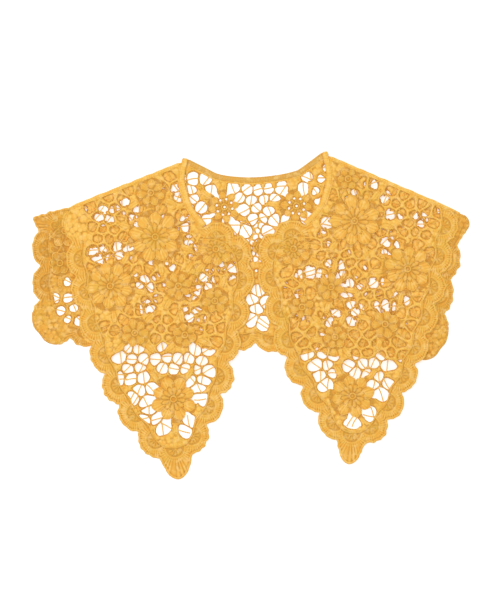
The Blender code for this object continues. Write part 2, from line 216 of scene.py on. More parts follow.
def thread_material(name, valley, middle, crest_highlight, roughness):
    """Stitched thread with painted shade and highlight set by its "rise" attribute, ribbed across its
    "stitch" one.
    """
    made, shader = principled(
        name, Emission_Strength=GLOW, Subsurface_Weight=0.22, Subsurface_Scale=0.0012,
        Subsurface_Radius=(1.0, 0.6, 0.3), Specular_IOR_Level=0.35, Sheen_Weight=0.18, Sheen_Roughness=0.45,
        Sheen_Tint=(1.0, 0.85, 0.45, 1.0))
    tree = made.node_tree
    start = Value(tree, None)
    rise, count = (Value(tree, start.node("ShaderNodeAttribute", {"attribute_name": read})
                         .socket.node.outputs["Fac"]) for read in ("rise", "stitch"))
    place = Value(tree, tree.nodes.new("ShaderNodeTexCoord").outputs["Object"])
    broad, mottle, fibre = (start.node("ShaderNodeTexNoise", Vector=place, Scale=scale, Detail=detail)
                            for scale, detail in NOISES)
    ribs, bundles = count.wave(STITCH), count.wave(BUNDLE)
    # Painted shade and highlight: the thread's height, moved by the stitch ribs and fibre noise, picks the
    # colour.
    shade = (rise + (fibre - 0.5) * 0.22 + (ribs - 0.5) * 0.12 + (bundles - 0.5) * 0.22).clamped()
    colour = shade.ramp((0.12, valley), (0.45, middle), (0.95, crest_highlight))
    colour = tinted(((broad - 0.5) * 2.5).clamped() * 0.4, colour, OLIVE)
    colour = tinted(((mottle - 0.52) * 6.0).clamped() * 0.5, colour, PEACH)
    colour = tinted(((0.48 - mottle) * 6.0).clamped() * 0.5, colour, ORANGE)
    bump = tree.nodes.new("ShaderNodeBump")
    bump.inputs["Distance"].default_value = STITCH_DEPTH
    bump.inputs["Strength"].default_value = 0.8
    tree.links.new((ribs * 0.8 + fibre * 0.5).socket, bump.inputs["Height"])
    uneven = roughness + fibre * 0.15
    # The painted colour is also the glow's colour, so the glow is painted light.
    for source, entry in ((bump.outputs["Normal"], "Normal"), (colour.socket, "Base Color"),
                          (colour.socket, "Emission Color"), (uneven.socket, "Roughness")):
        tree.links.new(source, shader.inputs[entry])
    return made


LACE = thread_material("lace_thread", PAINTED_VALLEY_SHADE, THREAD, PAINTED_CREST_HIGHLIGHT, 0.5)
# The tape's ramp runs from painted shade in its valleys to a painted highlight on its crests.
TAPE = thread_material("neck_tape", (0.46, 0.215, 0.028), (0.59, 0.298, 0.044), (0.69, 0.390, 0.078), 0.58)
# The floor glows a little, which keeps the shadows in the gaps as pale as an even light does.
finish, _ = principled("floor", Base_Color=(0.90, 0.90, 0.89, 1.0), Roughness=0.9, Specular_IOR_Level=0.1,
                       Emission_Color=(1.0, 1.0, 1.0, 1.0), Emission_Strength=0.22)
floor_mesh.materials.append(finish)
print("materials:", [m.name for m in bpy.data.materials])

# %% [markdown]
# ## The cut of each panel
# Every panel's cut is read from the underside of its solid, where the edge of the cloth and of each gap
# is a closed line. The longest is the outline. Curves are put through its points, and a sharp point
# stays sharp, because that is a notch between two scallops.

# %% Read a panel's outline and gaps
WELD = 1e-6
CORNER_TURN = math.radians(45)
NOTCH_TURN = math.radians(18)
CURVE_STEPS = 5
LONGEST_SCALLOP = 42.0


def sides(loop):
    """The sides of a closed loop, as pairs of points."""
    return list(zip(loop, np.roll(loop, -1, 0)))


def unit(vectors):
    """Vectors at a length of 1."""
    return vectors / np.linalg.norm(vectors, axis=-1, keepdims=True)


def left_of(vectors):
    """Vectors turned a quarter to the left."""
    return np.stack((-vectors[:, 1], vectors[:, 0]), 1)


def lengths(pairs):
    """How far along a line each of its points is, from the pairs of points that are its sides."""
    return np.cumsum([0] + [math.dist(a, b) for a, b in pairs])


def area_of(loop):
    """The area of a closed loop of points that turns to the left."""
    after = np.roll(loop, -1, 0)
    return 0.5 * np.sum(loop[:, 0] * after[:, 1] - loop[:, 1] * after[:, 0])


def underside_loops(node):
    """The closed lines round a panel's underside and its gaps, in mm: the outline first."""
    mesh = bmesh.new()
    mesh.from_mesh(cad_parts[node].data)
    bmesh.ops.remove_doubles(mesh, verts=mesh.verts, dist=WELD)
    after = {}
    for face in mesh.faces:
        if face.normal.z < -0.5:
            for loop in face.loops:
                if any(other.normal.z >= -0.5 for other in loop.edge.link_faces):
                    after[loop.link_loop_next.vert] = loop.vert
    loops = []
    while after:
        start, vert = after.popitem()
        line = [start, vert]
        while vert in after:
            vert = after.pop(vert)
            line.append(vert)
        loops.append(np.array([(v.co.x / MM, v.co.y / MM) for v in line[:-1]]))
    mesh.free()
    loops.sort(key=lambda loop: -abs(area_of(loop)))
    return [loop if area_of(loop) > 0 else loop[::-1] for loop in loops]


def turns(loop):
    """How far the outline turns to the left at each of its points."""
    into, out = loop - np.roll(loop, 1, 0), np.roll(loop, -1, 0) - loop
    cross = into[:, 0] * out[:, 1] - into[:, 1] * out[:, 0]
    return np.arctan2(cross, np.sum(into * out, 1))


def spline(start, end, leave, arrive, t):
    """A point of the curve from start to end that leaves and arrives along two vectors."""
    return ((2 * t ** 3 - 3 * t * t + 1) * start + (t ** 3 - 2 * t * t + t) * leave
            + (3 * t * t - 2 * t ** 3) * end + (t ** 3 - t * t) * arrive)


def curved(loop):
    """The closed curve through the outline's points, with its sharp points kept."""
    sharp = (turns(loop) > CORNER_TURN) | (turns(loop) < -NOTCH_TURN)
    found = []
    for i in range(len(loop)):
        before, start, end, after = (loop[(i + k) % len(loop)] for k in (-1, 0, 1, 2))
        leave = end - start if sharp[i] else (end - before) / 2
        arrive = end - start if sharp[(i + 1) % len(loop)] else (after - start) / 2
        found += [spline(start, end, leave, arrive, step / CURVE_STEPS) for step in range(CURVE_STEPS)]
    return np.array(found)


def notch_lines(loop):
    """The lines from notch to notch along the scalloped stretches of an outline."""
    notches = loop[turns(loop) < -NOTCH_TURN]
    return [(a, b) for a, b in sides(notches) if math.dist(a, b) < LONGEST_SCALLOP]


cuts = {node: underside_loops(node) for node in ("back_panel", "front_left", "front_right")}
for node, loops in cuts.items():
    print(node, "outline", len(loops[0]), "points,", len(loops) - 1, "gaps,",
          len(notch_lines(loops[0])), "scallops")

# %% [markdown]
# ## Motifs
# Flowers of six to nine petals, with leaves that grow out between them. Nearly all stand where the
# solids have theirs, so that the gaps of the net already go round them.

# %% Places of the flowers
Flower = namedtuple("Flower", "x y radius petals leaves turn notch")
SOLID, WREATH = 0.30, 0.44

BACK_FLOWERS = [Flower(*row) for row in (
    (-26.5, 108, 16, 8, 4, 10, WREATH), (45.5, 109, 16, 8, 4, 40, WREATH),
    (8.5, 68, 8, 6, 0, 30, SOLID), (-186, 84, 17, 8, 2, 15, SOLID),
    (-191, 52, 12, 6, 2, 0, SOLID),
)]
LEFT_FLOWERS = [Flower(*row) for row in (
    (-95.5, 78, 26, 9, 6, 10, SOLID), (-140.5, 29, 24, 9, 5, 25, SOLID),
    (-35, 66, 18, 8, 4, 5, SOLID), (-77.5, -84, 23, 8, 5, 22, SOLID),
    (-72.5, 29, 14, 7, 4, 15, WREATH), (-100, 122, 14, 7, 3, 35, WREATH),
    (-36, 14, 13, 6, 3, 8, WREATH), (-116, -18, 14, 7, 4, 0, SOLID),
    (-66, -20, 12, 6, 3, 40, SOLID),
)]
RIGHT_FLOWERS = [Flower(*row) for row in (
    (103.5, 94, 26, 9, 6, 20, SOLID), (156.5, 46, 24, 9, 5, 5, SOLID),
    (42.5, 66, 18, 8, 4, 15, SOLID), (101.5, -81, 22, 8, 5, 12, SOLID),
    (80, 28, 14, 7, 4, 35, WREATH), (97, 136, 11, 6, 2, 0, WREATH),
    (51, 8, 12, 6, 3, 20, WREATH), (134, -9, 14, 7, 4, 28, SOLID),
    (84, -22, 12, 6, 3, 8, SOLID),
)]
print("flowers:", len(BACK_FLOWERS) + len(LEFT_FLOWERS) + len(RIGHT_FLOWERS))

# %% [markdown]
# ## Fields
# The lace is worked out as numbers over the plane before it is a mesh: how deep a place is in the cloth,
# how high the thread stands there, and how the stitches run. Everything here works on whole arrays.

# %% Distances
FAR = 99.0


def soft_step(value, low, high):
    """0 below low, 1 above high, and smooth between them."""
    t = np.clip((value - low) / (high - low), 0, 1)
    return t * t * (3 - 2 * t)


def nearest(x, y, segments):
    """How far points are from some segments, the number of the nearest one, and how far along it they are."""
    best, number, share = np.full(x.shape, FAR), np.zeros(x.shape, int), np.zeros(x.shape)
    for i, (a, b) in enumerate(segments):
        dx, dy = b[0] - a[0], b[1] - a[1]
        t = np.clip(((x - a[0]) * dx + (y - a[1]) * dy) / (dx * dx + dy * dy), 0, 1)
        distance = np.hypot(x - a[0] - t * dx, y - a[1] - t * dy)
        nearer = distance < best
        best[nearer], number[nearer], share[nearer] = distance[nearer], i, t[nearer]
    return best, number, share


def inside(x, y, loop):
    """Whether points lie inside a closed loop."""
    found = np.zeros(x.shape, bool)
    for a, b in sides(loop):
        if a[1] != b[1]:
            found ^= ((a[1] > y) != (b[1] > y)) & (x < a[0] + (b[0] - a[0]) * (y - a[1]) / (b[1] - a[1]))
    return found


def gap_depth(x, y, gaps):
    """How deep points lie inside the nearest gap, its corners rounded; below 0 is how far off it is."""
    reach, rounding = 5.0, 1.1
    found = np.full(x.shape, -reach)
    for gap in gaps:
        low, high = gap.min(0) - reach, gap.max(0) + reach
        near = np.nonzero((x > low[0]) & (x < high[0]) & (y > low[1]) & (y < high[1]))
        px, py = x[near], y[near]
        total = np.zeros(px.shape)
        for a, b in sides(gap):
            across = ((b[0] - a[0]) * (py - a[1]) - (b[1] - a[1]) * (px - a[0])) / math.dist(a, b)
            total += np.exp(-np.clip(across, -reach, 30.0) / rounding)
        found[near] = np.maximum(found[near], -rounding * np.log(total))
    return found


# %% Cells of a jittered net
def cells(x, y, pitch, seed):
    """The distances to the two nearest points of a jittered grid, and a number for the nearest."""
    side = 64
    offsets = np.random.default_rng(seed).uniform(-0.36, 0.36, (side, side, 3))
    row = np.floor(y / pitch).astype(int)
    column = np.floor(x / pitch).astype(int)
    first, second = (np.full(x.shape, FAR) for _ in range(2))
    number = np.zeros(x.shape)
    for i in (-1, 0, 1):
        for j in (-2, -1, 0, 1, 2):
            jitter = offsets[(row + i) % side, (column + j) % side]
            sx = (column + j + 0.5 + 0.5 * ((row + i) % 2) - 0.25 + jitter[..., 0]) * pitch
            sy = (row + i + 0.5 + jitter[..., 1]) * pitch
            distance = np.hypot(x - sx, y - sy)
            nearer = distance < first
            number = np.where(nearer, jitter[..., 2], number)
            second = np.where(nearer, first, np.minimum(second, distance))
            first = np.minimum(first, distance)
    return first, second, number


def waves(x, y, size, seed):
    """A soft uneven swell between about -1 and 1, with bumps of about that size."""
    draw = np.random.default_rng(seed)
    total = np.zeros(np.shape(x))
    for _ in range(5):
        turn, phase = draw.uniform(0, math.tau, 2)
        total = total + np.sin((x * math.cos(turn) + y * math.sin(turn)) * math.pi / size + phase)
    return total / 3


# %% [markdown]
# ## Relief
# Heights are in millimetres over the underside. The bars of the net are round threads a little over a
# millimetre thick, with a knot where they meet. Petals and leaves are padded with stitches: they rise
# from a valley at their edge to about two millimetres. Each scallop is a fan of ribs round half a flower.

# %% Heights of the parts of the lace
BAR_TOP = 1.2
KNOT_TOP = 1.75
VALLEY_TOP = 1.0
MOTIF_TOP = 2.0
EDGE_MIDDLE = 0.5
EDGE_ROUND = 1.1
# Tones of the painted shade on the cut rim and on the underside.
EDGE_RISE, UNDER_RISE = 0.4, 0.5
LEAF_LENGTH = 15.0
LEAF_WIDTH = 6.0


def ridge(value, place, width):
    """A smooth ridge 1 high where the value is at that place."""
    return np.exp(-((value - place) / width) ** 2)


def padded(edge, softness, top):
    """Height of padded stitches at a distance from their edge."""
    return VALLEY_TOP + (top - VALLEY_TOP) * (1 - np.exp(-np.clip(edge, 0, FAR) / softness))


# %% Petals
BIG_FLOWER = 15.5
INNER_ROUND = 0.56
INNER_MORE = 4
CORE = 4.2
RING_AT = 2.9
PETAL_RIBS = 2
PETAL_RIB = 0.16


def lobe(u, notch):
    """A petal's reach as a share of the flower's radius; u is 0 at its middle and 1 beside it."""
    return 1 - notch * (0.4 * u + 0.6 * (1 - np.sqrt(np.clip(1 - u * u, 0, 1))))


def petal_places(r, turn, petals):
    """u in a ring of petals, and the distance from the valley beside it."""
    half = math.pi / petals
    away = np.abs(np.mod(turn + half, 2 * half) - half)
    return away / half, r * np.sin(half - away)


def petal_reach(flower, turn):
    """How far a flower's petals reach at a turn. No two of them are quite as long."""
    u, _ = petal_places(1.0, turn, flower.petals)
    count = np.mod(np.floor(turn * flower.petals / math.tau + 0.5), flower.petals)
    return flower.radius * (0.98 + 0.045 * np.sin(2.4 * count + flower.x)) * lobe(u, flower.notch)


def flower_height(flower, r, turn):
    """Height of the thread in a flower: a button in its ring, and one or two rounds of padded petals."""
    u, valley = petal_places(r, turn, flower.petals)
    height = padded(np.minimum(petal_reach(flower, turn) - r, valley), 0.9, 1.85)
    height += PETAL_RIB * np.cos(math.tau * PETAL_RIBS * u) * soft_step(r / flower.radius, 0.3, 0.6)
    if flower.radius > BIG_FLOWER:
        u, valley = petal_places(r, turn, flower.petals + INNER_MORE)
        edge = np.minimum(INNER_ROUND * flower.radius * lobe(u, 0.35) - r, valley)
        height = np.where(edge > -0.4, padded(edge, 0.8, 1.95), height)
    core = VALLEY_TOP + 0.9 * ridge(r, RING_AT, 0.8) + 0.9 * ridge(r, 0, 1.1)
    return np.where(r < CORE, core, height)


# %% Leaves
def leaf_height(x, y, base, tip):
    """Depth inside a leaf, its height, and the count across its stitches."""
    length = math.dist(base, tip)
    ux, uy = (tip[0] - base[0]) / length, (tip[1] - base[1]) / length
    along = (x - base[0]) * ux + (y - base[1]) * uy
    off = np.abs((y - base[1]) * ux - (x - base[0]) * uy)
    t = np.clip(along / length, 0.001, 0.999)
    depth = LEAF_WIDTH / 2 * np.sin(math.pi * t ** 0.8) ** 0.6 - off
    depth = np.where((along < 0) | (along > length), -1.0, depth)
    veins = 0.16 * np.cos(math.tau * (along - 0.8 * off) / 2.2)
    return depth, padded(depth, 0.7, 1.85) + veins - 0.4 * ridge(off, 0, 0.5), along - 0.8 * off


# %% Scallops
BAND_DEPTH = 14.0
ARC_BITE = 3.4
ARC_POWER = 1.4
FAN_CENTRE = 8.5
FAN_CORE = 8.0
FAN_RIBS = math.radians(10)
CORE_PETALS = 11


def fan_places(x, y, number, notches):
    """Where points are in their scallop's fan: how far in from its notches, radius, turn, and the way in."""
    a, b = np.array(notches)[number].swapaxes(0, 1)
    along = unit(b - a)
    px, py = x - (a[:, 0] + b[:, 0]) / 2, y - (a[:, 1] + b[:, 1]) / 2
    across, inward = px * along[:, 0] + py * along[:, 1], py * along[:, 0] - px * along[:, 1]
    radius, turn = np.hypot(across, inward - FAN_CENTRE), np.arctan2(across, FAN_CENTRE - inward)
    return inward, radius, turn, left_of(along)


def arc_reach(share):
    """How far inward from the notch line the scalloped band reaches, at a share of the scallop's width."""
    return BAND_DEPTH - 0.9 - ARC_BITE * np.sin(math.pi * np.clip(share, 0, 1)) ** ARC_POWER


def fan_height(depth, arc, r, turn):
    """Height in a scallop: ribs that fan out round half a flower, a groove inside the rim, a cord inside."""
    fade = soft_step(r, 9.8, 11.0) * soft_step(depth, 1.6, 3.2)
    height = 1.5 + 0.26 * np.cos(math.tau * turn / FAN_RIBS) * fade + 0.15 * ridge(depth, 5.0, 3.0)
    u, valley = petal_places(r, turn, CORE_PETALS)
    core = np.minimum(FAN_CORE * lobe(u, 0.25) - r, valley)
    height = np.where(core > 0, padded(core, 0.6, 1.75) + 0.1, height)
    height = np.where(r < 2.4, VALLEY_TOP + 0.2 + 0.7 * ridge(r, 1.4, 0.6), height)
    height -= 0.3 * ridge(r, FAN_CORE + 0.4, 0.5) + 0.3 * ridge(depth, 2.6, 0.6)
    height += 0.35 * ridge(r, FAN_CORE + 1.9, 0.8) + 0.2 * ridge(r, FAN_CORE + 4.6, 0.7)
    height = np.where(arc < 2.2, VALLEY_TOP + 0.9 * ridge(arc, 0.8, 0.8), height)
    return np.clip(height + 0.3 * ridge(depth, 1.2, 0.9), VALLEY_TOP, MOTIF_TOP)


# %% Leaves that the panel's net leaves room for
def leaves_of(flowers, gaps, outline, notches):
    """(base, tip) of the leaves between the petals of the flowers, where the wall is solid round them."""
    edge, found = sides(outline), []
    for flower in flowers:
        for i in range(flower.leaves):
            turn = math.radians(flower.turn + 360 * (i + 0.5) / flower.leaves)
            out = np.array((math.cos(turn), math.sin(turn)))
            base = np.array((flower.x, flower.y)) + out * (flower.radius + 0.5)
            tip = base + out * (LEAF_LENGTH - 0.5)
            spine = np.array([base + (tip - base) * share for share in (0.2, 0.5, 0.8)])
            clear = gap_depth(spine[:, 0], spine[:, 1], gaps).max() < -2.2
            clear = clear and all(math.dist(tip, (f.x, f.y)) > f.radius + LEAF_WIDTH / 2 for f in flowers)
            clear = clear and all(math.dist(tip, (a + b) / 2) > 1.5 * LEAF_WIDTH for a, b in found)
            clear = clear and nearest(tip[:1], tip[1:], notches)[0][0] > BAND_DEPTH + 1
            clear = clear and inside(tip[:1], tip[1:], outline)[0]
            clear = clear and nearest(tip[:1], tip[1:], edge)[0][0] > 4
            if clear:
                found.append((base, tip))
    return found


# %% [markdown]
# ## The mesh of a panel
# The fields are sampled on a lattice of equal triangles. Triangles wholly in the cloth are kept, and the
# ones on its edge are cut where the depth passes zero. The upper and the lower face share the points of
# the cut, so the thread is closed and its edge is round. A lattice gives even triangles on a shape with
# hundreds of holes, where a filled outline would give slivers.

# %% Lattice and its cutting
def lattice(outline, pitch):
    """The points of a lattice of equal triangles over an outline, and its triangles."""
    low, high = outline.min(0) - 2 * pitch, outline.max(0) + 2 * pitch
    rise = pitch * math.sqrt(3) / 2
    rows, columns = int((high[1] - low[1]) / rise) + 2, int((high[0] - low[0]) / pitch) + 2
    i, j = np.mgrid[0:rows, 0:columns]
    x, y = low[0] + (j + 0.5 * (i % 2)) * pitch, low[1] + i * rise
    at = i * columns + j
    a, b, c, d = at[:-1, :-1], at[:-1, 1:], at[1:, 1:], at[1:, :-1]
    even = (i[:-1, :-1] % 2 == 0)[..., None]
    one = np.where(even, np.stack((a, b, d), -1), np.stack((a, b, c), -1))
    two = np.where(even, np.stack((b, c, d), -1), np.stack((a, c, d), -1))
    return x.ravel(), y.ravel(), np.concatenate((one.reshape(-1, 3), two.reshape(-1, 3)))


def largest_part(inside, triangles):
    """The points of the largest connected part of the cloth."""
    label = np.where(inside, np.arange(len(inside)), -1)
    edges = np.concatenate((triangles[:, :2], triangles[:, 1:], triangles[:, ::2]))
    edges = edges[inside[edges].all(1)]
    while True:
        before = label.copy()
        high = np.maximum(label[edges[:, 0]], label[edges[:, 1]])
        np.maximum.at(label, edges[:, 0], high)
        np.maximum.at(label, edges[:, 1], high)
        held = label >= 0
        label[held] = label[label[held]]
        if (label == before).all():
            break
    names, counts = np.unique(label[label >= 0], return_counts=True)
    return label == names[counts.argmax()]


def cut_cloth(depth, triangles):
    """Kept points, cut points as (inner, outer, share), and triangles that index the two lists in turn."""
    inside = largest_part(depth > 0, triangles)
    depth = np.where(inside, np.maximum(depth, 1e-4), np.minimum(depth, -1e-4))
    kept = np.nonzero(inside)[0]
    number = np.full(len(depth), -1)
    number[kept] = np.arange(len(kept))
    count = inside[triangles].sum(1)
    whole = number[triangles[count == 3]]
    some = triangles[(count == 1) | (count == 2)]
    odd = np.where(inside[some].sum(1, keepdims=True) == 1, inside[some], ~inside[some]).argmax(1)
    rows = np.arange(len(some))
    tip, left, right = (some[rows, (odd + k) % 3] for k in (0, 1, 2))
    pairs = np.concatenate((np.stack((tip, left), 1), np.stack((tip, right), 1)))
    pairs = np.where(inside[pairs[:, :1]], pairs, pairs[:, ::-1])
    edges, place = np.unique(pairs, axis=0, return_inverse=True)
    place = place.ravel() + len(kept)
    on_left, on_right = place[:len(some)], place[len(some):]
    single = inside[tip]
    ones = np.stack((number[tip], on_left, on_right), 1)[single]
    quads = np.concatenate((np.stack((number[left], number[right], on_right), 1)[~single],
                            np.stack((number[left], on_right, on_left), 1)[~single]))
    share = np.clip(depth[edges[:, 0]] / (depth[edges[:, 0]] - depth[edges[:, 1]]), 0.15, 0.85)
    return kept, edges, share, np.concatenate((whole, ones, quads))


def closed_sheet(name, points, faces, values, finish):
    """A smooth mesh object from points in mm, with its attributes and its material."""
    mesh = bpy.data.meshes.new(name)
    mesh.vertices.add(len(points))
    mesh.vertices.foreach_set("co", (points * MM).ravel())
    mesh.loops.add(faces.size)
    mesh.loops.foreach_set("vertex_index", faces.ravel())
    mesh.polygons.add(len(faces))
    mesh.polygons.foreach_set("loop_start", np.arange(0, faces.size, 3))
    mesh.update(calc_edges=True)
    mesh.polygons.foreach_set("use_smooth", np.ones(len(faces), bool))
    for key, numbers in values.items():
        mesh.attributes.new(key, "FLOAT", "POINT").data.foreach_set("value", numbers)
    mesh.validate()
    mesh.materials.append(finish)
    return placed(name, mesh)


def baked(made):
    """Take what an object's modifier makes as its mesh."""
    graph = bpy.context.evaluated_depsgraph_get()
    mesh = bpy.data.meshes.new_from_object(made.evaluated_get(graph), depsgraph=graph)
    made.modifiers.clear()
    made.data = mesh


def thinned(made, most):
    """Thin a mesh to that many triangles. Flat places go first, so the relief keeps its form."""
    made.modifiers.new("thin", "DECIMATE").ratio = min(1.0, most / len(made.data.polygons))
    baked(made)


# %% [markdown]
# ## How the panels lie
# The back lies on the surface. The fronts lie on the back, go past its hem and come down to the surface,
# so the height of their underside is worked out from the line of the hem. A slight swell keeps the cloth
# from looking pressed.

# %% Heights of the undersides
FRONT_LEVEL = 2.3
SCALLOP_DEPTH = 8.0
DROP_START = 7.0
DROP_LENGTH = 34.0
SWELL = 0.35
HEM_X = (-211.5, -181.0, -100.0, 0.0, 60.0, 120.0, 165.0, 189.5)
HEM_Y = (-19.0, -23.0, -25.0, -28.0, -32.0, -36.0, -38.0, -34.0)


def back_level(x, y):
    """The back's underside is on the surface."""
    return np.zeros(np.shape(x))


def front_level(x, y):
    """The fronts' underside is on the back, and past its hem comes down to the surface."""
    past = np.interp(x, HEM_X, HEM_Y) - SCALLOP_DEPTH - DROP_START - y
    t = np.clip(past / DROP_LENGTH, 0, 1)
    return FRONT_LEVEL * (1 - t * t * (3 - 2 * t)) + SWELL * (1 + waves(x, y, 46, 3)) * 0.5


# %% [markdown]
# ## The net
# The solids' gaps give the net. Its bars are thin where one layer shows and heavier where two lie on each
# other. Along a plain edge and between the scallops the net is drawn a little outward, so that its gaps
# come up to the cord there. A few zones of the back are denser, such as its left side, past the front.
# Under the fronts the back has a closer net with many cells filled. Both layers are open in a few
# patches, where white shows through, and just between the fronts the back's net is finer.

# %% Depth in the net
BACK_TRIM = 0.85
FRONT_TRIM = 0.8
DOUBLE_TRIM = 0.3
BAR_UNEVEN = (0.22, 0.15)
BAR_WAVE = 2.4
Zone = namedtuple("Zone", "west east south north trim")
BACK_ZONES = [Zone(*row) for row in (
    (-230, -160, -60, 34, -0.5), (-230, -160, 34, 130, -1.5), (196, 230, 76, 120, -4.0),
    (-20, 28, 127, 141, -0.7), (57, 78, 116, 152, -1.0), (-7, 18, 34, 53, -4.0),
)]
Patch = namedtuple("Patch", "x y radius")
OPEN_PATCHES = [Patch(*row) for row in (
    (-147, 100, 9), (-121, 108, 10), (-73, 122, 9), (-61, 90, 9), (-151, 60, 9),
    (-131, 64, 10), (-63, 66, 9), (-106, 32, 10), (-86, 44, 9), (-46, 32, 10),
    (-61, -3, 10), (-19, 43, 9), (-50, 14, 9), (-102, 6, 9),
    (74, 90, 9), (129, 120, 9), (141, 94, 10), (138, 70, 9), (124, 35, 9),
    (59, 44, 12), (84, 47, 11), (49, 8, 13), (99, 26, 11), (102, 2, 12),
    (84, -5, 10), (134, 6, 11), (150, 16, 9), (169, 95, 8),
)]
HIDDEN_PITCH = 8.4
HIDDEN_BAR = 1.45
HIDDEN_FILLED = 0.08
OPEN_FILLED = 0.35
OPEN_THIN = 0.4
FILLED_DEPTH = 2.5
PATCH_TRIM = 0.6
PATCH_BAR = 0.4
FINE_NET = Zone(-16, 20, 53, 94, 0.75)
FINE_PITCH = 5.8
FINE_RIM = 2.0
# Painted light: under the fronts the back's thread is painted near the crest colour, against the shade there.
HIDDEN_SHINE = 1.6
EDGE_CORD = 1.9
EDGE_UNEVEN = 0.75
EDGE_WAVE = 3.6


def drawn_in(outline, distance):
    """A closed line moved to its left, into the cloth, by one distance or by one for each of its points."""
    ahead = unit(np.roll(outline, -1, 0) - np.roll(outline, 1, 0))
    return outline + np.reshape(distance, (-1, 1)) * left_of(ahead)


def worked(loop):
    """The curve of an outline, a little uneven along its scallops, where each stitch is set by itself."""
    line = curved(loop)
    near, _, _ = nearest(line[:, 0], line[:, 1], notch_lines(loop))
    return drawn_in(line, np.where(near < 14, EDGE_UNEVEN * waves(line[:, 0], line[:, 1], EDGE_WAVE, 13), 0))


outlines = {node: worked(loops[0]) for node, loops in cuts.items()}


def in_zone(x, y, zone):
    """Whether points lie in a zone."""
    return (x > zone.west) & (x < zone.east) & (y > zone.south) & (y < zone.north)


def net_depth(x, y, node):
    """How deep points lie in a panel's net, whether two layers lie there, and how deep they are in any cloth.

    The last is below 0 in the back's openings that go through its leaves and lobes too: under a front's
    gaps in the open patches, and in the fine net between the fronts.
    """
    gaps = -gap_depth(x, y, cuts[node][1:])
    others = ("front_left", "front_right") if node == "back_panel" else ("back_panel",)
    double = np.zeros(x.shape, bool)
    for other in others:
        double |= inside(x, y, cuts[other][0])
    uneven = np.where(double, *BAR_UNEVEN) * waves(x, y, BAR_WAVE, 11)
    openness = np.full(x.shape, -1.0)
    for patch in OPEN_PATCHES:
        openness = np.maximum(openness, 1 - (np.hypot(x - patch.x, y - patch.y) / patch.radius) ** 2)
    single = BACK_TRIM if node == "back_panel" else FRONT_TRIM
    trim = np.where(double, DOUBLE_TRIM + PATCH_TRIM * openness, single)
    if node == "back_panel":
        for zone in BACK_ZONES:
            trim = np.where(in_zone(x, y, zone), zone.trim, trim)
    net = gaps - trim + uneven
    cloth = np.full(x.shape, FAR)
    if node == "back_panel":
        patch = np.nonzero(double & (openness > 0))
        over = [gap for front in ("front_left", "front_right") for gap in cuts[front][1:]]
        cloth[patch] = PATCH_BAR - gap_depth(x[patch], y[patch], over)
        first, second, _ = cells(x, y, FINE_PITCH, 4)
        fine = np.maximum(FINE_NET.trim - (second - first) / 2, FINE_RIM - gaps)
        cloth = np.where(in_zone(x, y, FINE_NET) & ~double, fine, cloth)
        first, second, number = cells(x, y, HIDDEN_PITCH, 9)
        bar = HIDDEN_BAR - OPEN_THIN * soft_step(openness, 0.0, 0.6)
        filled = number > HIDDEN_FILLED + OPEN_FILLED * openness
        hidden = np.where(filled, FILLED_DEPTH, bar - (second - first) / 2 + uneven)
        net = np.where(double, hidden, net)
    return net, double, cloth


# %% [markdown]
# ## Laying the lace
# For each panel the fields are combined. The net comes first, then flowers and leaves are laid over it,
# and a notch between two petals opens only as far as the gap beside it does. What is left solid is
# filled with small padded lobes.

# %% Fields of one panel
FILL_PITCH = 4.6
FLOSS = 44 * BUNDLE / math.tau
# The shine values scale the painted shade and highlight of flowers, fans, wings and bars.
FLOWER_SHINE = 0.72
FAN_SHINE = 0.8
WING_SHINE = 0.62
WING_SIDE = 160.0
WREATH_HOLES = 0.5
HOLE_RADIUS = 1.25
BAR_DEPTH = 1.9
BAR_SHINE = 1.35
LOBE_RISE = 0.6
LOBE_SHARE = 0.62
NOTCH_REACH = 6.0
BITE_REACH = 24.0
FLOWER_RIM = 1.4
FLOWER_LIP = 0.3
PLAIN_EDGE = 2.2
PLAIN_MIDDLE = 1.2
PLAIN_HALF = 1.3
MOST_TRIANGLES = 190000


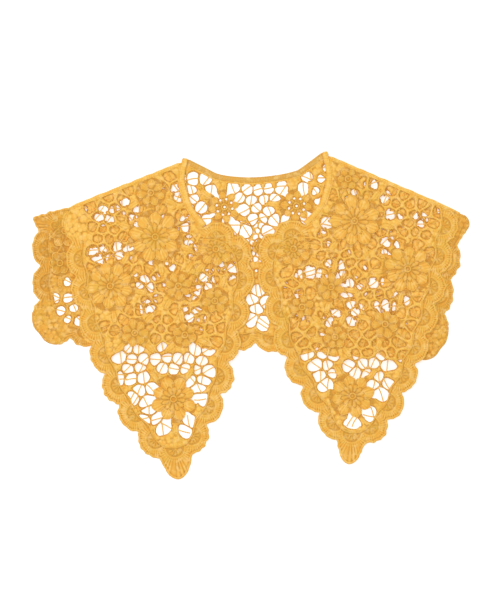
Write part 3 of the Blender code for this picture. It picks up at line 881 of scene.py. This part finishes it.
def lace_fields(x, y, node, flowers):
    """At points: depth in cloth, thread height, shine that scales its painted highlight, and count across its
    stitches.
    """
    outline, notches = outlines[node], notch_lines(cuts[node][0])
    edge = sides(outline)
    starts = lengths(edge)
    depth, number, share = nearest(x, y, edge)
    foot = outline[number] + share[:, None] * (np.roll(outline, -1, 0) - outline)[number]
    place = starts[number] + share * (starts[number + 1] - starts[number])
    depth = np.where(inside(x, y, outline), depth, -depth)
    from_notch, number, share = nearest(x, y, notches)
    inward, r, turn, way_in = fan_places(x, y, number, notches)
    arc = arc_reach(share) - inward
    band = (arc > 0) & (from_notch < BAND_DEPTH + 9) & (share > 0) & (share < 1) | (from_notch < NOTCH_REACH)

    away = np.stack((x, y), 1) - foot
    away /= np.maximum(np.linalg.norm(away, axis=1, keepdims=True), 1e-6)
    pull = EDGE_CORD * (1 - soft_step(depth, 2.5, 8.0)) * (from_notch > BAND_DEPTH + 4)
    bite = ARC_BITE * np.sin(math.pi * share) ** ARC_POWER * (1 - soft_step(inward, 13.0, BITE_REACH))
    bite = bite * (from_notch < BITE_REACH)
    warp = away * pull[:, None] + way_in * bite[:, None]
    net, double, cloth = net_depth(x + warp[:, 0], y + warp[:, 1], node)

    first, _, tone = cells(x, y, FILL_PITCH, 5)
    dome = np.sqrt(np.clip(1 - (first / (LOBE_SHARE * FILL_PITCH)) ** 2, 0, 1))
    height = VALLEY_TOP + 0.25 + LOBE_RISE * dome
    stitch = first + 40 * tone
    bars = net < BAR_DEPTH
    shine = np.where(bars, BAR_SHINE, 1.0)
    height = np.where(bars, BAR_TOP + (KNOT_TOP - BAR_TOP) * soft_step(net, 0.9, 1.7), height)
    stitch = np.where(bars, x + 0.7 * y, stitch)

    leaves = leaves_of(flowers, cuts[node][1:], outline, notches)
    for base, tip in leaves:
        d, h, s = leaf_height(x, y, base, tip)
        height, stitch = np.where(d > 0, h, height), np.where(d > 0, s, stitch)
        net = np.where(d > 0, np.maximum(net, d), net)
    for flower in flowers:
        fr = np.hypot(x - flower.x, y - flower.y)
        angle = np.arctan2(y - flower.y, x - flower.x) - math.radians(flower.turn)
        reach, rim = petal_reach(flower, angle), flower.radius + FLOWER_RIM
        on = fr < reach
        pushed = np.nonzero((fr >= reach) & (fr < rim))
        scale = rim / fr[pushed]
        beyond, _, _ = net_depth(flower.x + (x[pushed] - flower.x) * scale,
                                 flower.y + (y[pushed] - flower.y) * scale, node)
        net[pushed] = np.maximum(beyond, (reach - fr)[pushed])
        height[pushed] = BAR_TOP
        net = np.where(on, np.maximum(reach - fr + FLOWER_LIP, net), net)
        cloth = np.where(on, FAR, cloth)
        if flower.notch == WREATH:
            _, valley = petal_places(fr, angle, flower.petals)
            holes = np.minimum(fr, np.hypot(fr - WREATH_HOLES * flower.radius, valley)) - HOLE_RADIUS
            net = np.where(on & ~double, np.minimum(net, holes), net)
        height = np.where(on, flower_height(flower, fr, angle), height)
        shine = np.where(on, FLOWER_SHINE, shine)
        stitch = np.where(on, angle * FLOSS, stitch)

    net = np.minimum(net, cloth)
    plain = ~band & (depth < PLAIN_EDGE)
    net = np.where(band, np.maximum(net, np.minimum(depth, np.maximum(arc, NOTCH_REACH - from_notch))), net)
    net = np.where(plain, np.maximum(net, PLAIN_HALF - np.abs(depth - PLAIN_MIDDLE)), net)
    height = np.where(plain, BAR_TOP + 0.5 * ridge(depth, 1.1, 0.8), height)
    height = np.where(band, fan_height(depth, arc, r, turn), height)
    stitch = np.where(band, turn * FLOSS, stitch)
    shine = np.where(band, FAN_SHINE, shine)
    # Painted light on the back: lighter under the fronts against the shade there, a weaker painted highlight
    # on its wings.
    if node == "back_panel":
        shine = np.where(double, HIDDEN_SHINE, np.where(np.abs(x) > WING_SIDE, shine * WING_SHINE, shine))
    return np.minimum(depth, net), height, shine, stitch, leaves


def lay_lace(panel):
    """The lace of one panel as a closed mesh of thread, and its flat area in square metres."""
    name, level = f"{panel.prefix}_lace", panel.level
    x, y, triangles = lattice(cuts[panel.node][0], panel.pitch)
    depth, height, shine, stitch, leaves = lace_fields(x, y, panel.node, panel.flowers)
    kept, edges, share, faces = cut_cloth(depth, triangles)
    round_edge = np.sqrt(1 - (1 - np.clip(depth[kept] / EDGE_ROUND, 0, 1)) ** 2)
    base = level(x[kept], y[kept])
    top = base + EDGE_MIDDLE + (height[kept] - EDGE_MIDDLE) * round_edge
    under = base + EDGE_MIDDLE * (1 - round_edge) * 0.8
    cut_x = x[edges[:, 0]] + (x[edges[:, 1]] - x[edges[:, 0]]) * share
    cut_y = y[edges[:, 0]] + (y[edges[:, 1]] - y[edges[:, 0]]) * share
    rim = np.stack((cut_x, cut_y, level(cut_x, cut_y) + EDGE_MIDDLE), 1)
    points = np.concatenate((np.stack((x[kept], y[kept], top), 1), rim,
                             np.stack((x[kept], y[kept], under), 1)))
    lower = np.where(faces < len(kept), faces + len(kept) + len(rim), faces)[:, ::-1]
    # Painted shade and highlight: higher thread is painted lighter and the rounded edge darker, scaled by
    # shine.
    rise = (height[kept] * (0.7 + 0.3 * round_edge) - VALLEY_TOP) / (MOTIF_TOP - VALLEY_TOP)
    rise = np.clip(rise * shine[kept], 0, 1)
    values = {
        "rise": np.concatenate((rise, np.full(len(rim), EDGE_RISE), np.full(len(kept), UNDER_RISE))),
        "stitch": np.concatenate((stitch[kept], stitch[edges[:, 0]], stitch[kept])),
    }
    flat = points[faces][:, :, :2]
    span, drop = flat[:, 1] - flat[:, 0], flat[:, 2] - flat[:, 0]
    area = 0.5 * np.abs(span[:, 0] * drop[:, 1] - span[:, 1] * drop[:, 0]).sum() * MM * MM
    made = closed_sheet(name, points, np.concatenate((faces, lower)), values, LACE)
    thinned(made, MOST_TRIANGLES)
    print(name, 2 * len(faces), "triangles thinned to", len(made.data.polygons), "-",
          round(area * 1e4), "cm2,", len(leaves), "leaves")
    return made, area


# %% Lay the three panels
Panel = namedtuple("Panel", "node prefix flowers level pitch seed")
PANELS = (
    Panel("back_panel", "back", BACK_FLOWERS, back_level, 0.90, 21),
    Panel("front_left", "front_left", LEFT_FLOWERS, front_level, 0.78, 22),
    Panel("front_right", "front_right", RIGHT_FLOWERS, front_level, 0.78, 23),
)
laid = [lay_lace(panel) for panel in PANELS]

# %% [markdown]
# ## Cords
# Lace of this kind is drawn with cords: one goes round each flower and its button, a thicker one wrapped
# in stitches runs along the scallops, and fine threads cross the widest gaps. A Geometry Nodes group
# sweeps a round section along lines and can set stitches round it at even steps.

# %% The node group
def cord_nodes(wrapped):
    """A node group that makes cords of its input's lines, wrapped in stitches or bare."""
    tree = bpy.data.node_groups.new("wrapped_cord" if wrapped else "bare_cord", "GeometryNodeTree")
    for name, kind in (("Lines", "Geometry"), ("Radius", "Float"), ("Stitch Spacing", "Float"),
                       ("Stitch Size", "Vector"), ("Thread", "Material"), ("Cord", "Geometry")):
        tree.interface.new_socket(name, in_out="OUTPUT" if name == "Cord" else "INPUT",
                                  socket_type=f"NodeSocket{kind}")

    def add(kind, links, **settings):
        node = tree.nodes.new(kind)
        for name, value in settings.items():
            setattr(node, name, value)
        for name, source in links.items():
            if hasattr(source, "is_output"):
                tree.links.new(source, node.inputs[name])
            else:
                node.inputs[name].default_value = source
        return node

    given = add("NodeGroupInput", {}).outputs
    curve = add("GeometryNodeMeshToCurve", {"Mesh": given["Lines"]}).outputs["Curve"]
    round_section = add("GeometryNodeCurvePrimitiveCircle", {"Resolution": 6, "Radius": given["Radius"]})
    tube = add("GeometryNodeCurveToMesh", {"Curve": curve, "Profile Curve": round_section.outputs["Curve"],
                                           "Fill Caps": True})
    parts = [tube.outputs["Mesh"]]
    if wrapped:
        steps = add("GeometryNodeCurveToPoints", {"Curve": curve, "Length": given["Stitch Spacing"]},
                    mode="LENGTH")
        turned = add("FunctionNodeAlignRotationToVector", {"Vector": steps.outputs["Tangent"]}, axis="X")
        bead = add("GeometryNodeMeshUVSphere", {"Segments": 6, "Rings": 4, "Radius": 1.0})
        stitches = add("GeometryNodeInstanceOnPoints",
                       {"Points": steps.outputs["Points"], "Instance": bead.outputs["Mesh"],
                        "Rotation": turned.outputs["Rotation"], "Scale": given["Stitch Size"]})
        parts.append(add("GeometryNodeRealizeInstances",
                         {"Geometry": stitches.outputs["Instances"]}).outputs["Geometry"])
    join = tree.nodes.new("GeometryNodeJoinGeometry")
    for part in parts:
        tree.links.new(part, join.inputs["Geometry"])
    even = add("GeometryNodeSetShadeSmooth", {"Geometry": join.outputs["Geometry"]})
    dyed = add("GeometryNodeSetMaterial", {"Geometry": even.outputs["Geometry"], "Material": given["Thread"]})
    add("NodeGroupOutput", {"Cord": dyed.outputs["Geometry"]})
    return tree


BARE, WRAPPED = cord_nodes(False), cord_nodes(True)


def triangulated(mesh):
    """Make a mesh's faces triangles that face outward."""
    shape = bmesh.new()
    shape.from_mesh(mesh)
    bmesh.ops.triangulate(shape, faces=shape.faces)
    bmesh.ops.recalc_face_normals(shape, faces=shape.faces)
    shape.to_mesh(mesh)
    shape.free()


def lay_cords(name, lines, rise, tree, radius, spacing=1, size=(1, 1, 1), finish=LACE):
    """Cords along lines, each a list of (x, y, z) points in mm and whether it is closed."""
    points = [point for line, _ in lines for point in line]
    edges, first, places = [], 0, []
    for line, closed in lines:
        count = len(line)
        edges += [(first + i, first + (i + 1) % count) for i in range(count if closed else count - 1)]
        places += list(lengths(zip(line, line[1:])))
        first += count
    guide = bpy.data.meshes.new(name)
    guide.from_pydata([tuple(value * MM for value in point) for point in points], edges, [])
    guide.attributes.new("rise", "FLOAT", "POINT").data.foreach_set("value", [rise] * len(points))
    guide.attributes.new("stitch", "FLOAT", "POINT").data.foreach_set("value", places)
    made = placed(name, guide)
    modifier = made.modifiers.new("cord", "NODES")
    modifier.node_group = tree
    given = {"Radius": radius * MM, "Stitch Spacing": spacing * MM, "Thread": finish,
             "Stitch Size": tuple(value * MM for value in size)}
    for socket in tree.interface.items_tree:
        if socket.name in given:
            modifier[socket.identifier] = given[socket.name]
    baked(made)
    triangulated(made.data)
    print(name, len(lines), "cords,", len(made.data.polygons), "triangles")
    return made


# %% Lines round the flowers
PETAL_CORD = 0.45
PETAL_RISE = 0.75
PETAL_INSET = 0.45
PETAL_HEIGHT = 1.5
BUTTON_HEIGHT = 1.75
CORD_STEP = 1.5


def flower_lines(flowers, level):
    """The lines round the petals and round the button of each flower."""
    found = []
    for flower in flowers:
        for radius, height in ((flower.radius, PETAL_HEIGHT), (RING_AT, BUTTON_HEIGHT)):
            turn = np.linspace(0, math.tau, int(math.tau * radius / CORD_STEP), endpoint=False)
            reach = petal_reach(flower, turn) - PETAL_INSET if radius == flower.radius else radius
            spin = turn + math.radians(flower.turn)
            x, y = flower.x + reach * np.cos(spin), flower.y + reach * np.sin(spin)
            found.append((list(zip(x, y, level(x, y) + height)), True))
    return found


# %% Lines along the scallops
RIM_INSET = 0.9
RIM_HEIGHT = 1.25
RIM_CORD = 0.5
RIM_RISE = 0.7
RIM_SPACING = 1.2
RIM_STITCH = (0.5, 0.95, 0.66)


def rim_lines(node, level):
    """The stretches of a panel's edge that are scalloped, as lines a little inside it."""
    line = drawn_in(outlines[node], RIM_INSET)
    near, _, _ = nearest(outlines[node][:, 0], outlines[node][:, 1], notch_lines(cuts[node][0]))
    scalloped = near < BAND_DEPTH
    start = int(np.nonzero(scalloped & ~np.roll(scalloped, 1))[0][0])
    found, run = [], []
    for i in range(len(line)):
        at = (start + i) % len(line)
        if scalloped[at]:
            run.append((*line[at], float(level(*line[at])) + RIM_HEIGHT))
        if run and (not scalloped[at] or i == len(line) - 1):
            found.append((run, False))
            run = []
    return found


# %% Threads across the widest gaps
THREAD_RADIUS = 0.55
THREAD_RISE = 0.65
THREAD_HEIGHT = 0.75
THREAD_END = 2.6
WIDE_GAP = 7.6
GAP_SHARE = 5.4


def gap_threads(gaps, level, seed):
    """Fine threads that cross the widest gaps, a few millimetres apart and not quite parallel."""
    draw = np.random.default_rng(seed)
    found = []
    for gap in gaps:
        middle = gap.mean(0)
        long_way = np.linalg.svd(gap - middle)[2][0]
        reach = (gap - middle) @ long_way
        if np.ptp(reach) < WIDE_GAP:
            continue
        count = max(1, round(np.ptp(reach) / GAP_SHARE) - 1)
        for i in range(count):
            at = reach.min() + np.ptp(reach) * (i + 1 + draw.uniform(-0.12, 0.12)) / (count + 1)
            lean = draw.uniform(0.35, 0.6) * draw.choice((-1, 1))
            way = np.array((-long_way[1], long_way[0])) + lean * long_way
            way /= np.linalg.norm(way)
            walk = (middle + at * long_way) + np.linspace(-16, 16, 81)[:, None] * way
            across = inside(walk[:, 0], walk[:, 1], gap)
            if across.any():
                first, last = np.nonzero(across)[0][[0, -1]]
                ends = walk[first] - THREAD_END * way, walk[last] + THREAD_END * way
                bow = draw.uniform(-0.9, 0.9)
                line = [ends[0] + (ends[1] - ends[0]) * t + bow * math.sin(math.pi * t) * long_way
                        for t in np.linspace(0, 1, 6)]
                found.append(([(*p, float(level(*p)) + THREAD_HEIGHT) for p in line], False))
    return found


# %% Lay the cords of each panel
def panel_cords(panel):
    """The cords of one panel: round its flowers, along its scallops and across its gaps."""
    prefix, level = panel.prefix, panel.level
    threads = gap_threads(cuts[panel.node][1:], level, panel.seed)
    return [
        lay_cords(f"{prefix}_petal_cords", flower_lines(panel.flowers, level), PETAL_RISE, BARE, PETAL_CORD),
        lay_cords(f"{prefix}_rim_cord", rim_lines(panel.node, level), RIM_RISE, WRAPPED, RIM_CORD,
                  RIM_SPACING, RIM_STITCH),
        lay_cords(f"{prefix}_gap_threads", threads, THREAD_RISE, BARE, THREAD_RADIUS),
    ]


cords = [panel_cords(panel) for panel in PANELS]

# %% [markdown]
# ## Neck tape and shoulder folds
# The neck is bound with a narrow tape, round at its edges, with a line of stitches along each side. At
# the shoulders the lace turns over from the back to a front. That edge is a soft, slightly uneven roll.

# %% A section swept along a path
def swept(name, path, section, rise, finish):
    """A closed band of (across, up) sections along a path of (x, y, z) points, all in mm."""
    path, count = np.array(path), len(section[0])
    ahead = unit(np.gradient(path[:, :2], axis=0))
    points, stitch = [], []
    along = lengths(zip(path, path[1:]))
    for place, way, shape, length in zip(path, ahead, section, along):
        for across, up in shape:
            points.append((place[0] - way[1] * across, place[1] + way[0] * across, place[2] + up))
            stitch.append(length)
    faces = []
    for i in range(len(path) - 1):
        for j in range(count):
            a, b = i * count + j, i * count + (j + 1) % count
            faces += [(a, b, b + count), (a, b + count, a + count)]
    for first in (0, (len(path) - 1) * count):
        faces += [(first, first + j, first + j + 1) for j in range(1, count - 1)]
    values = {"rise": np.tile(rise, len(path)), "stitch": np.array(stitch)}
    made = closed_sheet(name, np.array(points), np.array(faces), values, finish)
    triangulated(made.data)
    return made


def curve_through(points, spacing):
    """Points about that far apart on the smooth curve through the given ones."""
    line = np.array(points, float)
    ends = np.concatenate((2 * line[:1] - line[1:2], line, 2 * line[-1:] - line[-2:-1]))
    found = []
    for before, start, end, after in zip(ends, ends[1:], ends[2:], ends[3:]):
        steps = max(1, round(math.dist(start, end) / spacing))
        found += [spline(start, end, (end - before) / 2, (after - start) / 2, step / steps)
                  for step in range(steps)]
    return np.array(found + [line[-1]])


# %% Neck tapes
NECK_LEFT = (-63.0, 156.0)
NECK_RIGHT = (71.0, 162.6)
NECKLINES = {
    "back": (NECK_RIGHT, (50.0, 147.0), (42.5, 143.5), (26.5, 140.0), (5.5, 137.8), (-14.5, 138.2),
             (-32.5, 141.0), (-46.0, 147.5), NECK_LEFT),
    "left": ((-44.5, 91.0), (-58.0, 108.0), (-66.0, 134.0), NECK_LEFT),
    "right": (NECK_RIGHT, (75.0, 136.0), (66.5, 109.0), (52.0, 93.0)),
}
TAPE_WIDTH = 4.6
TAPE_TOP = 1.9
TAPE_EDGE = 0.9
TAPE_STEPS = 10
TAPE_STITCHES = 1.35
TAPE_LAP = 1.0
TAPE_THREAD = 0.16
TAPE_THREAD_RISE = 0.6
TAPE_SPACING = 2.2
TAPE_STITCH = (0.8, 0.3, 0.3)


def tape_section(fullness):
    """The tape's section, round at its edges and hollow along its middle, lapped over the lace."""
    turns = np.linspace(-math.pi / 2, math.pi / 2, TAPE_STEPS)
    half = (TAPE_WIDTH + TAPE_LAP) / 2 * fullness
    across = TAPE_LAP / 2 + half * np.sin(turns)
    hollow = 1 - 0.14 * np.cos(turns) ** 6
    top = TAPE_EDGE + (TAPE_TOP - TAPE_EDGE) * fullness * np.cos(turns) ** 0.5 * hollow
    under = [(across[0] * 0.9, 0.12), (across[-1] * 0.9, 0.12)]
    return list(zip(across[::-1], top[::-1])) + under


def neck_tape(side, level):
    """The tape along one neckline and its two rows of stitches."""
    edge = curve_through(NECKLINES[side], 2.0)
    inward = left_of(unit(np.gradient(edge, axis=0)))
    middle = edge + inward * TAPE_WIDTH / 2
    path = [(*p, float(level(*p))) for p in middle]
    fullness = [0.82 if i in (0, len(path) - 1) else 1.0 for i in range(len(path))]
    # Painted shade and highlight across the tape: lighter along its crown, darker toward its edges and
    # underneath.
    rise = [0.35 + 0.45 * math.sin(math.pi * j / (TAPE_STEPS - 1)) for j in range(TAPE_STEPS)] + [0.2, 0.2]
    finish = TAPE if side == "back" else LACE
    band = swept(f"neck_tape_{side}_band", path, [tape_section(f) for f in fullness], rise, finish)
    rows = [[(*p, float(level(*p)) + TAPE_TOP - 0.25) for p in (middle + inward * off)[1:-1]]
            for off in (-TAPE_STITCHES, TAPE_STITCHES)]
    stitches = lay_cords(f"neck_tape_{side}_stitches", [(row, False) for row in rows], TAPE_THREAD_RISE,
                         WRAPPED, TAPE_THREAD, TAPE_SPACING, TAPE_STITCH, finish)
    return band, stitches


tapes = {side: neck_tape(side, back_level if side == "back" else front_level) for side in NECKLINES}

# %% Shoulder folds
FOLD_ENDS = {"left": (NECK_LEFT, (-180.5, 109.0), 1), "right": (NECK_RIGHT, (204.0, 105.6), -1)}
FOLD_START = 7.5
FOLD_RADIUS = 1.85
FOLD_LAP = 1.6
FOLD_WALL = 0.9
FOLD_STEPS = 9
FOLD_PAST = 6.0


def shoulder_fold(side):
    """The rolled edge of the lace along a shoulder, from the neck to the fold's end."""
    neck, end, sign = FOLD_ENDS[side]
    neck, end = np.array(neck), np.array(end)
    length = math.dist(neck, end)
    way = (end - neck) / length
    inward = sign * np.array((-way[1], way[0]))
    path, sections = [], []
    for at in np.arange(FOLD_START, length + FOLD_PAST, 1.1):
        place = neck + at * way + inward * FOLD_RADIUS
        tail = 1 - 0.55 * soft_step(at, length - 12, length + FOLD_PAST)
        tail *= 0.55 + 0.45 * soft_step(at, FOLD_START, FOLD_START + 5)
        swell = tail * (1 + 0.2 * float(waves(at, 0.0, 5.5, 31)) + 0.08 * math.sin(math.tau * at / 2.6))
        turns = np.linspace(-math.pi / 2, math.pi / 2, FOLD_STEPS)
        outer = [(-sign * FOLD_RADIUS * swell * math.cos(a), FOLD_RADIUS * max(0, tail + swell * math.sin(a)))
                 for a in turns]
        thin = FOLD_RADIUS - FOLD_WALL
        inner = [(-sign * thin * tail * math.cos(a), FOLD_RADIUS * tail + thin * tail * math.sin(a))
                 for a in turns[::-1]]
        lap = FOLD_RADIUS * (tail + swell)
        sections.append(outer + [(sign * FOLD_LAP, lap - 0.1), (sign * FOLD_LAP, lap - FOLD_WALL)] + inner)
        path.append((*place, 0.0))
    # Painted shade and highlight on the roll: its outside lighter toward the top, the lap mid-tone, its
    # inside dark.
    rise = [0.35 + 0.4 * j / (FOLD_STEPS - 1) for j in range(FOLD_STEPS)] + [0.5] + [0.2] * (FOLD_STEPS + 1)
    return swept(f"shoulder_fold_{side}_roll", path, sections, rise, LACE)


folds = {side: shoulder_fold(side) for side in FOLD_ENDS}
print("tapes and folds:", [len(piece.data.polygons) for pair in tapes.values() for piece in pair],
      [len(piece.data.polygons) for piece in folds.values()])

# %% Attach the pieces to the body and hide the solids they replace
BODY = "root"
for side, (band, stitches) in tapes.items():
    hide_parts(f"neck_tape_{side}")
    for piece in (band, stitches):
        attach(piece, BODY)
for side, roll in folds.items():
    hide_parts(f"shoulder_fold_{side}")
    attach(roll, BODY)
edges = (tapes["back"], (*tapes["left"], folds["left"]), (*tapes["right"], folds["right"]))
panels = [(*lace, panel.node, [*own, *edge]) for panel, lace, own, edge in zip(PANELS, laid, cords, edges)]
for piece, area, node, trims in panels:
    for cord in trims[:3]:
        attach(cord, BODY)
    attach(piece, BODY)
    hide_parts(node)
    [] if node == "back_panel" else ["back_panel"]
print("pieces:", sum(len(trims) + 1 for *_, trims in panels))
